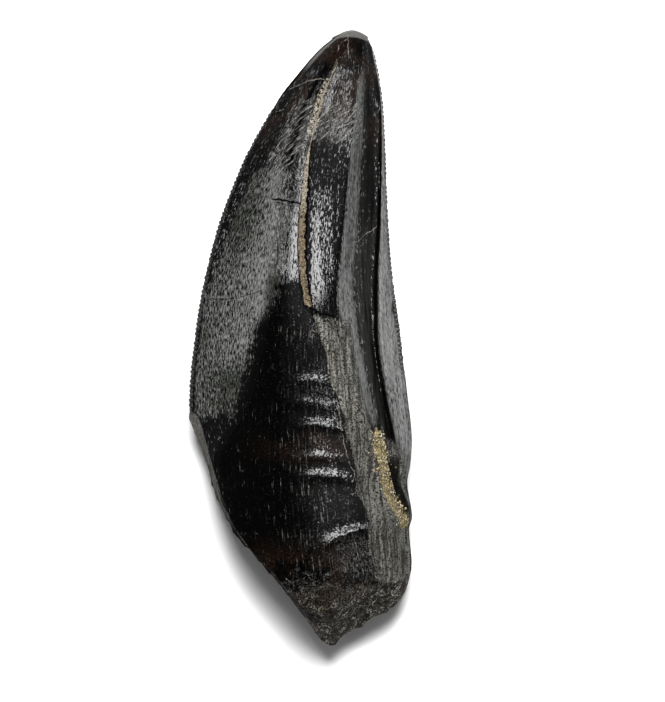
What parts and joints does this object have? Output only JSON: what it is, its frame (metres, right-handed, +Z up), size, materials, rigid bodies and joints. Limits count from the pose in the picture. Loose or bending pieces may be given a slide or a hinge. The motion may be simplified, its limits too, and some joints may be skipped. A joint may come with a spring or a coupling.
{
  "type": "fossil tyrannosaur tooth",
  "caption": "Glossy black fossil carnivore tooth lying on its side, with serrated edges, a sediment-filled crack, a long hollow channel and a rough broken root end.",
  "frame": {"origin": "centre of the tooth's outline, on the surface that it lies on", "axes": "+Y along the tooth towards its tip, +X towards the rear edge, +Z up out of the surface that it lies on"},
  "size_m": [0.027, 0.0748, 0.0152],
  "materials": {
    "fossil_enamel": "glossy near-black enamel, with duller brown dentine and tan sediment in the crack"
  },
  "bodies": {
    "root": {"tooth": "fossil_enamel"}
  },
  "joints": []
}
